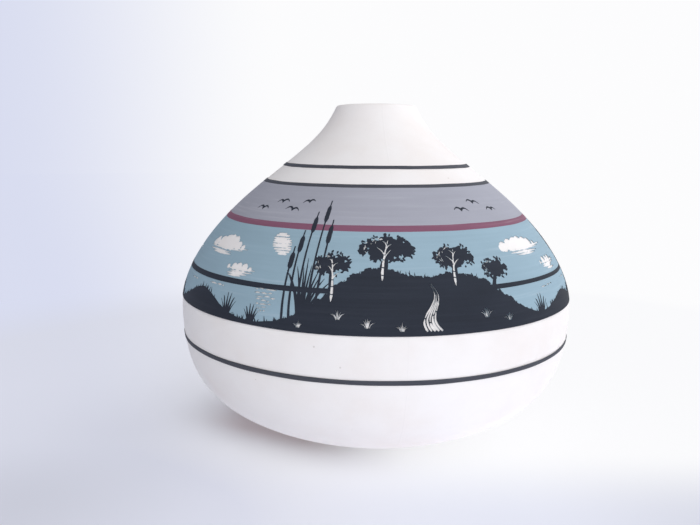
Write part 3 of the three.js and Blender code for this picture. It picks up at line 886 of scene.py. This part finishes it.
# Scratches through the slip: the moon, clouds, light on the water, and growth on the bank.
moon = {
    "at": -28.5, "lean": 0, "middle": 0.7, "wide": 7, "high": 0.41, "rows": 10,
    "shear": -0.5,  # sideways for each step up, since the wall leans there
    "rowWide": (0.9, 1.14), "bow": 0.12, "endStray": 0.15, "slope": 0.1, "ragged": 0.05,
}


def moonScratches(look, rng):
    # Level scratches fill the disc, each as long as its chord
    middle, radii = crownOf(look)
    pitch = 2 * radii[1] / look["rows"]
    scratches = []
    for row in range(look["rows"]):
        up = -radii[1] + (row + 0.5) * pitch
        chord = radii[0] * math.sqrt(1 - (up / radii[1]) ** 2)
        left, right = chord + rng.normal(0, look["endStray"], 2)
        aside = look["shear"] * up
        start = middle + [aside - left, up]
        tip = middle + [aside + right, up + rng.normal(0, look["slope"])]
        wide, bow = pitch * rng.uniform(*look["rowWide"]), rng.normal(0, look["bow"])
        scratches.append(stroke(start, tip, wide, bow, "moon", 16, look["ragged"], rng))
    return scratches


clouds = {
    "list": [(-53, 0.5, 26, 8, 8), (-40.5, 0.16, 13, 5, 4.6), (50, 0.55, 27, 8, 8),
             (62, 0.2, 14, 5, 4.6), (-82, 0.3, 17, 6, 5.4), (92, 0.5, 25, 8, 7.5),
             (124, 0.4, 20, 7, 6.5), (-112, 0.55, 24, 7, 7.5), (-150, 0.42, 24, 8, 7),
             (162, 0.6, 22, 7, 6.5)],  # at, foot, long, puffs, high
    "spread": 0.37, "outer": 0.2, "inner": 0.28, "rough": 0.04, "puffStray": 0.05,
    "puffVaries": (0.82, 1.12), "puffUp": 0.65, "puffWide": 1.08, "puffPoints": 40,
    "puffLobes": 5, "lobeDepth": 0.03,
    "streaks": 4, "streakWide": (0.9, 1.3), "streakVaries": (0.8, 1), "streakShorter": 0.085,
    "streakTop": 0.3, "streakPitch": 1.05, "streakStray": 0.08, "streakAside": 0.1,
    "bow": 0.15, "slope": 0.15, "ragged": 0.05,
}


def cloudScratches(look, rng):
    # Round puffs stand on a level foot, the largest near the middle, over a few long streaks
    scratches = []
    for at, foot, long, puffs, high in look["list"]:
        across, up, length = placeRound(at), inUpperSky(foot), placeRound(long)
        for fan in np.linspace(-1, 1, puffs) + rng.normal(0, look["puffStray"], puffs):
            share = look["outer"] + look["inner"] * max(1 - fan**2, 0)
            size = high * share * rng.uniform(*look["puffVaries"])
            place = (across + look["spread"] * length * fan, up + look["puffUp"] * size)
            scratches.append(roundForm(place, (look["puffWide"] * size, size), look["puffPoints"],
                                       look["puffLobes"], look["lobeDepth"], rng, look["rough"]))
        for k in range(look["streaks"]):
            half = length * (0.5 - look["streakShorter"] * k) * rng.uniform(*look["streakVaries"])
            x = across + rng.uniform(-look["streakAside"], look["streakAside"]) * length
            y = up + look["streakTop"] - look["streakPitch"] * k + rng.normal(0, look["streakStray"])
            wide, bow = rng.uniform(*look["streakWide"]), rng.normal(0, look["bow"])
            tip = [x + half, y + rng.normal(0, look["slope"])]
            scratches.append(stroke([x - half, y], tip, wide, bow, "lens", 14, look["ragged"], rng))
    return scratches


# The moon's light lies on the water in broken dashes, and so does the sky's elsewhere.
glints = {
    "list": [(-28.4, 0.93, 7), (-28.9, 0.83, 5.6), (-28, 0.73, 6.2), (-28.7, 0.63, 4.4),
             (-28.2, 0.53, 4.8), (-28.6, 0.43, 3), (-28.3, 0.33, 2.4), (-47, 0.86, 7),
             (-62, 0.8, 6), (54, 0.84, 7), (70, 0.8, 6), (76, 0.66, 5), (-84, 0.8, 6),
             (118, 0.6, 5), (142, 0.7, 6), (-128, 0.7, 6), (168, 0.6, 5)],  # at, share up, long
    "wide": (0.45, 0.75), "dashes": 3, "breakAt": (0.15, 0.85), "gap": 0.15,
    "stray": 0.22, "slope": 0.08, "bow": 0.1,
}


def glintScratches(look, rng):
    scratches = []
    for at, share, long in look["list"]:
        up, left = inLowerSky(share), placeRound(at - long / 2)
        breaks = np.sort(rng.uniform(*look["breakAt"], look["dashes"] - 1))
        ends = left + np.array([0, *breaks, 1]) * placeRound(long)
        for a, b in zip(ends[:-1], ends[1:]):
            y = up + rng.normal(0, look["stray"])
            start, tip = [a + look["gap"], y], [b - look["gap"], y + rng.normal(0, look["slope"])]
            wide = rng.uniform(*look["wide"])
            scratches.append(stroke(start, tip, wide, look["bow"], "lens", 7, 0.04, rng))
    return scratches


bankGrowth = {
    "fans": [(-8.5, 0.3, 4.6), (-1.5, 0.1, 4), (28, 0.26, 4.6), (35, 0.1, 3.8),
             (-18, 0.02, 3), (6.5, 0.02, 3.4)],  # at, share up, tall
    "blades": 7, "wide": 0.36, "bow": 0.16, "outer": 0.55, "tallVaries": (0.75, 1.1),
    "footSpread": 0.8, "tipSpread": 0.8, "stray": 0.07,
}


def bankScratches(look, rng):
    # Fine blades spring from one root and droop outwards
    scratches = []
    for at, share, tall in look["fans"]:
        root = np.array([placeRound(at), inLowerSky(share)])
        for fan in fanned(look["blades"]):
            fan += rng.normal(0, look["stray"])
            height = tall * (1 - look["outer"] * abs(fan)) * rng.uniform(*look["tallVaries"])
            start = root + [fan * look["footSpread"], 0]
            tip = root + [fan * tall * look["tipSpread"], height]
            bow = fan * tall * look["bow"]
            scratches.append(stroke(start, tip, look["wide"], bow, "sprout", 9, 0.02, rng))
    return scratches


# A brook runs down the bank from the trees to the water.
brook = {
    "at": (13.2, 15.6), "sway": (1.2, 2.2), "bends": 1.7, "top": 4.8, "foot": -14.6,
    "wide": (0.9, 7.6), "widening": 1.5, "threads": 5, "fill": (0.68, 0.92),
    "starts": (0, 0.1), "lateStarts": (0.15, 0.4), "breaks": 1, "breakAt": (0.2, 0.85),
    "shortest": 0.06, "gapAfter": 0.008, "gapBefore": 0.012, "phase": 0.4, "points": 14,
    "tapered": (0.04, 0.96), "ragged": 0.04,
}


def partWay(ends, share):
    return ends[0] + (ends[1] - ends[0]) * share


def brookScratches(look, rng):
    # x = at + sway sin(pi bends t) down from the trees. It is scratched in threads side by
    # side, each in a few lengths, and widens towards the foot.
    scratches = []
    taper = tapers["thread"](np.linspace(*look["tapered"], look["points"]))
    for k, fan in enumerate(fanned(look["threads"])):
        first = rng.uniform(*look["starts"])
        ends = np.array([first, *np.sort(rng.uniform(*look["breakAt"], look["breaks"])), 1])
        if k % 2:
            ends[0] = rng.uniform(*look["lateStarts"])
            ends = np.sort(ends)
        for a, b in zip(ends[:-1], ends[1:]):
            if b - a < look["shortest"]:
                continue
            t = np.linspace(a + look["gapAfter"], b - look["gapBefore"], look["points"])
            bend = np.sin(math.pi * look["bends"] * t + look["phase"])
            x = partWay(placeRound(look["at"]), t) + placeRound(partWay(look["sway"], t)) * bend
            y = partWay((look["top"], look["foot"]), t)
            wide = partWay(look["wide"], t ** look["widening"])
            each = wide / look["threads"] * rng.uniform(*look["fill"]) * taper
            middle = np.stack([x + wide / 2 * fan, y], -1)
            scratches.append(ribbon(middle, each, look["ragged"], rng))
    return scratches


pictureCoat = {
    "skyProud": 0.1, "skySunk": 0.04, "blackProud": 0.17, "blackFoot": 0.08, "gridStep": 2.6,
    "lowest": groundFoot, "highest": 48,
    "skyOver": 0.9, "skyUnder": 0.7,  # the skies' outer edges, under the maroon and in the black
    "lineUnder": 0.3, "lineOver": 0.15, "lineLeft": 0.33,  # how far the horizon line spreads
}


def anticlockwise(shape):
    x, y = shape.T
    area = np.sum(x * np.roll(y, -1) - y * np.roll(x, -1))
    return shape if area > 0 else shape[::-1]


def cutOut(solids, cuts, low, high):
    # Triangles inside any solid outline and outside every cut, with points between them on
    # a grid so that they can bend with the wall
    step = pictureCoat["gridStep"]
    across = evenly(-roundLength, roundLength, step)[1:-1]
    up = evenly(low, high, step)[1:-1]
    grid = np.stack(np.meshgrid(across, up), -1).reshape(-1, 2)
    outlines = [anticlockwise(shape) for shape in [*solids, *cuts]]
    ends = np.cumsum([len(shape) for shape in outlines])
    loops = [list(range(end - len(shape), end)) for end, shape in zip(ends, outlines)]
    corners = np.concatenate([*outlines, grid])
    flat, _, faces, _, _, within = delaunay_2d_cdt(corners.tolist(), [], loops, 0, 1e-4)
    solidCount = len(solids)
    keep = [bool(ids) and min(ids) < solidCount and max(ids) < solidCount for ids in within]
    return np.array([point[:] for point in flat]), np.array(faces)[keep]


def joinSeam(flat, triangles):
    # Points on the seam at the back are the same points, seen from either side
    right = np.where(flat[:, 0] > roundLength - 1e-3)[0]
    left = np.where(flat[:, 0] < -roundLength + 1e-3)[0]
    same = np.arange(len(flat))
    nearest = np.abs(flat[right, 1][:, None] - flat[left, 1][None]).argmin(1)
    same[right] = left[nearest]
    return same[triangles]


def layOnWall(name, solids, cuts, low, high, proud, foot, slipName, node):
    # Each flat triangle becomes one on the coat's face and one on its back, and each edge
    # that only one triangle has becomes a wall between them
    flat, triangles = cutOut(solids, cuts, low, high)
    triangles = joinSeam(flat, triangles)
    used, corners = np.unique(triangles, return_inverse=True)
    corners = corners.reshape(-1, 3)
    flat = flat[used]
    angle, along = flat[:, 0] / potRadius, horizonFoot - flat[:, 1]
    outR, outZ = wallNormal(along)
    sides = np.stack([outR * np.sin(angle), -outR * np.cos(angle), outZ], -1)
    layers = []
    for depth in (proud, foot):
        radius, height = wallPoint(along, depth)
        layers.append(np.stack([radius * np.sin(angle), -radius * np.cos(angle), height], -1))
    points = np.concatenate(layers)
    count = len(flat)
    edges = np.concatenate([corners[:, [0, 1]], corners[:, [1, 2]], corners[:, [2, 0]]])
    _, which, times = np.unique(np.sort(edges, 1), axis=0, return_inverse=True, return_counts=True)
    rim = edges[times[which.ravel()] == 1]
    walls = np.stack([rim[:, 0] + count, rim[:, 1] + count, rim[:, 1], rim[:, 0]], -1)
    backs = corners[:, ::-1] + count
    faces = corners.tolist() + backs.tolist() + walls.tolist()
    piece = addPiece(name, points, faces, slip[slipName], node)
    print(name, "triangles on its face:", len(triangles))
    first, second, third = (points[walls[:, k]] for k in range(3))
    wallSides = np.cross(second - first, third - second)
    wallSides /= np.maximum(np.linalg.norm(wallSides, axis=1, keepdims=True), 1e-12)
    normals = np.concatenate([
        sides[corners.ravel()], -sides[corners[:, ::-1].ravel()], np.repeat(wallSides, 4, axis=0),
    ])
    piece.data.normals_split_custom_set(normals.tolist())
    return piece


def drawPicture():
    rng = np.random.default_rng(41)
    lineTop = bandWidths["horizonLine"] + pictureCoat["lineOver"]
    line = levelBand(-pictureCoat["lineUnder"], lineTop, 34, 0.06, pictureCoat["lineLeft"])
    black = [ground(shore), line]
    black += shoreGrass(shore) + thicketShapes(thicket, rng)
    gaps, scratches = [], []
    for tree in trees["list"]:
        black += treeShapes(tree, trees, rng)
        gaps += skyGaps(tree, trees, rng)
        scratches += leafTicks(tree, trees, rng)
        if tree["stem"]:
            scratches += stemScratches(tree, trees, rng)
    black += tuftShapes(tufts, rng) + reedShapes(reeds, rng) + birdShapes(birds, rng)
    scratches += moonScratches(moon, rng) + cloudScratches(clouds, rng) + glintScratches(glints, rng)
    scratches += bankScratches(bankGrowth, rng) + brookScratches(brook, rng)
    print("drawn:", len(black), "black shapes and", len(scratches), "scratches")
    return black, gaps, scratches


def makePicture(coat):
    black, gaps, scratches = drawPicture()
    low = coat["lowest"]
    middle, top = bandWidths["horizonLine"] / 2, inUpperSky(1) + coat["skyOver"]
    skies = (("upper_sky_coat", "upper_sky", middle, top, 51),
             ("lower_sky_coat", "lower_sky", low + coat["skyUnder"], middle, 52))
    for name, node, start, end, seed in skies:
        sky = levelBand(start, end, seed, 0.04)
        layOnWall(name, [sky], scratches, start, end, coat["skyProud"], -coat["skySunk"], "blue", node)
    layOnWall("black_picture_coat", black, gaps + scratches, low, coat["highest"], coat["blackProud"],
              coat["blackFoot"], "black", "black_picture")


makePicture(pictureCoat)
print("picture made")

# Floor, light and camera. The stage is white, with painted cool shade to the left and in front.
stageLook = {
    "fadeFrom": 190, "fadeTo": 440, "paperCells": 60, "paper": 0.01,
    # warm is the painted colour of the pot's shadow on the floor
    "floor": (0.885, 0.89, 0.94), "warm": (0.8, 0.735, 0.755), "warmPower": 3.0,
    # The cool colour is painted shade, on the stage's left and in front
    "white": (0.975, 0.975, 0.985), "coolShade": (0.69, 0.72, 0.87),
    "glow": (0.9, 0.43), "shine": (-0.3, 0.26),  # the glow that the camera sees, right and left: painted brighter on the right
    "glowLighting": 0.43,  # the glow added for all other rays, as a share of that: a painted light, the floor glowing onto the pot
    "leftFrom": 0.12, "leftTo": 0.5, "leftShift": (0, 0.25, 0.1),
    # front: where the stage gets more painted cool shade, in front of the pot
    "frontFrom": 30, "frontTo": 100, "frontShare": 0.7, "frontFar": 900, "frontNear": 300,
    # contact: where the pot's shadow is painted on the floor, and how dark
    "contactFrom": 64, "contactTo": 118, "contactLeft": -40, "contactRight": 22,
    "contactSlant": 0.5, "contactInside": -41, "contactOutside": -77, "contactDark": 0.97,
    # corner: painted shade at the front corners
    "cornerFrom": 60, "cornerTo": 150, "cornerDark": 0.12,
    "rings": (200.0, 500, 1000, 4000), "sides": 96,
}


def betweenMm(tree, value, low, high):
    return between(tree, value, low * mm, high * mm)


def lengthOf(tree, vector):
    return addNode(tree, "VectorMath", {"operation": "LENGTH"}, {0: vector})["Value"]


def stageColour(tree, left, front=0.0):
    # The painted cool shade is a smooth step of the way to the left, and more of it in front
    side = between(tree, left, stageLook["leftFrom"], stageLook["leftTo"])
    coolShade = plus(tree, side, times(tree, front, stageLook["frontShare"]))
    return mixed(tree, coolShade, stageLook["white"], stageLook["coolShade"])


def contactShade(tree, parts, distance, look):
    # One where the pot's shadow is painted on the floor: near it, on the left, behind the line y + slant x
    near = betweenMm(tree, distance, look["contactTo"], look["contactFrom"])
    onLeft = betweenMm(tree, parts["X"], look["contactRight"], look["contactLeft"])
    slant = plus(tree, parts["Y"], times(tree, parts["X"], look["contactSlant"]))
    inside = betweenMm(tree, slant, look["contactOutside"], look["contactInside"])
    return times(tree, times(tree, near, onLeft), inside)


def leftShare(tree, place, parts, look):
    # -x over the distance from a point that lies in front of the pot
    shifted = addNode(tree, "Mapping", None, {"Vector": place, "Location": look["leftShift"]})[0]
    return math2(tree, "DIVIDE", times(tree, parts["X"], -1.0), lengthOf(tree, shifted))


def frontPart(tree, parts, distance, look):
    # One in front of the pot, fading out far away, where the stage gets more painted cool shade and painted
    # dark corners
    front = betweenMm(tree, times(tree, parts["Y"], -1.0), look["frontFrom"], look["frontTo"])
    return times(tree, front, betweenMm(tree, distance, look["frontFar"], look["frontNear"]))


def floorMaterial(look):
    # Paper that glows a little, and is all glow far from the pot. Its glow is painted in cool
    # shade to the left and in front, darker at the front corners and brighter on the right.
    # Where the pot shades it, the shadow is painted: it glows less there and is painted warm.
    material, tree, shader, place = startMaterial("pale floor")
    parts = addNode(tree, "SeparateXYZ", None, {0: place})
    distance = lengthOf(tree, place)
    fade = betweenMm(tree, distance, look["fadeFrom"], look["fadeTo"])
    contact = contactShade(tree, parts, distance, look)
    left = leftShare(tree, place, parts, look)
    front = frontPart(tree, parts, distance, look)
    # Painted shade darkens the stage at the front corners
    aside = betweenMm(tree, math2(tree, "ABSOLUTE", parts["X"]), look["cornerFrom"], look["cornerTo"])
    cornerShade = opposite(tree, times(tree, times(tree, front, aside), look["cornerDark"]))
    # The pot's shadow is painted warm
    colour = mixed(tree, math2(tree, "POWER", contact, look["warmPower"]), look["floor"], look["warm"])
    paper = about(tree, noise(tree, place, look["paperCells"], 2), look["paper"])
    tree.links.new(scaled(tree, colour, plus(tree, cornerShade, paper)), shader.inputs["Base Color"])
    shader.inputs["Roughness"].default_value = 0.9
    shader.inputs["Specular IOR Level"].default_value = 0.1
    glowColour = scaled(tree, stageColour(tree, left, front), cornerShade)
    # The glow is painted brighter on the right and dimmer on the left
    lit, dim = look["glow"]
    shine = plus(tree, lit, times(tree, between(tree, left, *look["shine"]), dim - lit))
    cameraRay = addNode(tree, "LightPath")["Is Camera Ray"]
    # The painted shadow also takes away glow
    unshaded = opposite(tree, times(tree, contact, look["contactDark"]))
    share = math2(tree, "MAXIMUM", fade, times(tree, times(tree, cameraRay, unshaded), shine))
    glow = addNode(tree, "Emission", None, {"Color": glowColour, "Strength": 1.0})[0]
    seen = addNode(tree, "MixShader", None, {0: share, 1: shader.outputs[0], 2: glow})[0]
    # For all other rays the floor glows too, a painted light on the pot's underside
    others = opposite(tree, math2(tree, "MAXIMUM", fade, cameraRay))
    glowLighting = times(tree, times(tree, others, shine), look["glowLighting"])
    extra = addNode(tree, "Emission", None, {"Color": glowColour, "Strength": glowLighting})[0]
    whole = addNode(tree, "AddShader", None, {0: seen, 1: extra})[0]
    tree.links.new(whole, tree.nodes["Material Output"].inputs["Surface"])
    return material


def makeFloor(look):
    # Rings of points (r cos a, r sin a, 0) round a middle disc
    sides, rings = look["sides"], np.array(look["rings"])
    turn = np.linspace(0, 2 * math.pi, sides, endpoint=False)
    level = np.zeros((len(rings), sides))
    points = np.stack([np.outer(rings, np.cos(turn)), np.outer(rings, np.sin(turn)), level], -1)
    index = np.arange(points.size // 3).reshape(level.shape)
    quads = np.stack([index[:-1], index[1:], np.roll(index[1:], -1, 1), np.roll(index[:-1], -1, 1)], -1)
    mesh = bpy.data.meshes.new("floor")
    faces = [index[0].tolist(), *quads.reshape(-1, 4).tolist()]
    mesh.from_pydata((points.reshape(-1, 3) * mm).tolist(), [], faces)
    mesh.materials.append(floorMaterial(look))
    floor = bpy.data.objects.new("floor", mesh)
    bpy.context.scene.collection.objects.link(floor)


makeFloor(stageLook)

lamps = {
    "front": {"place": (83, -954, 803), "size": 900, "watts": 6.3, "colour": (1, 0.99, 0.98)},
    "behindRight": {"place": (784, 658, 717), "size": 900, "watts": 3.3, "colour": (1, 1, 1)},
}


lampAim = 70  # the height that both lamps point at


def addLamp(name, look):
    light = bpy.data.lights.new(name, "AREA")
    light.shape, light.size = "DISK", look["size"] * mm
    light.energy, light.color = look["watts"], look["colour"]
    lamp = bpy.data.objects.new(name, light)
    lamp.location = Vector(look["place"]) * mm
    aim = Vector((0, 0, lampAim)) * mm - lamp.location
    lamp.rotation_euler = aim.to_track_quat("-Z", "Y").to_euler()
    lamp.visible_camera = False
    bpy.context.scene.collection.objects.link(lamp)


for name, look in lamps.items():
    addLamp(name, look)

worldLook = {"ambient": (0.92, 0.935, 1.0), "strength": 0.32, "right": 1.15}


def makeWorld(look):
    # Camera, glossy and transmitted rays see the backdrop, painted in cool shade to the left.
    # The rest of the light is plain, and stronger from the right: strength + right * max(0, x)
    world = bpy.data.worlds.new("studio")
    world.use_nodes = True
    tree = world.node_tree
    ray = addNode(tree, "LightPath")
    seen = math2(tree, "MAXIMUM", ray["Is Glossy Ray"], ray["Is Transmission Ray"])
    seen = math2(tree, "MAXIMUM", ray["Is Camera Ray"], seen)
    way = addNode(tree, "SeparateXYZ", None, {0: addNode(tree, "TexCoord")["Generated"]})
    backdrop = stageColour(tree, times(tree, way["X"], -1.0))
    window = math2(tree, "MAXIMUM", 0.0, times(tree, way["X"], look["right"]))
    strength = plus(tree, look["strength"], window)
    ambient = {"Color": look["ambient"] + (1,), "Strength": strength}
    plain = addNode(tree, "Background", None, ambient)[0]
    shown = addNode(tree, "Background", None, {"Color": backdrop, "Strength": 1.0})[0]
    both = addNode(tree, "MixShader", None, {0: seen, 1: plain, 2: shown})[0]
    tree.links.new(both, tree.nodes["World Output"].inputs["Surface"])
    bpy.context.scene.world = world


makeWorld(worldLook)

cameraLook = {"place": (0, -351, 141), "tilt": 9.11, "turn": 2.03, "roll": 0.31, "lens": 36.08}


def addCamera(look):
    data = bpy.data.cameras.new("camera")
    data.sensor_fit, data.sensor_width, data.lens = "HORIZONTAL", 36, look["lens"]
    camera = bpy.data.objects.new("camera", data)
    bpy.context.scene.collection.objects.link(camera)
    camera.matrix_world = (
        Matrix.Translation(Vector(look["place"]) * mm)
        @ Matrix.Rotation(math.radians(look["turn"]), 4, "Z")
        @ Matrix.Rotation(math.radians(90 - look["tilt"]), 4, "X")
        @ Matrix.Rotation(math.radians(look["roll"]), 4, "Z")
    )
    data.clip_start, data.clip_end = 0.01, 100
    bpy.context.scene.camera = camera


addCamera(cameraLook)
bpy.context.scene.view_settings.view_transform = "Standard"
print("stage, light and camera made")
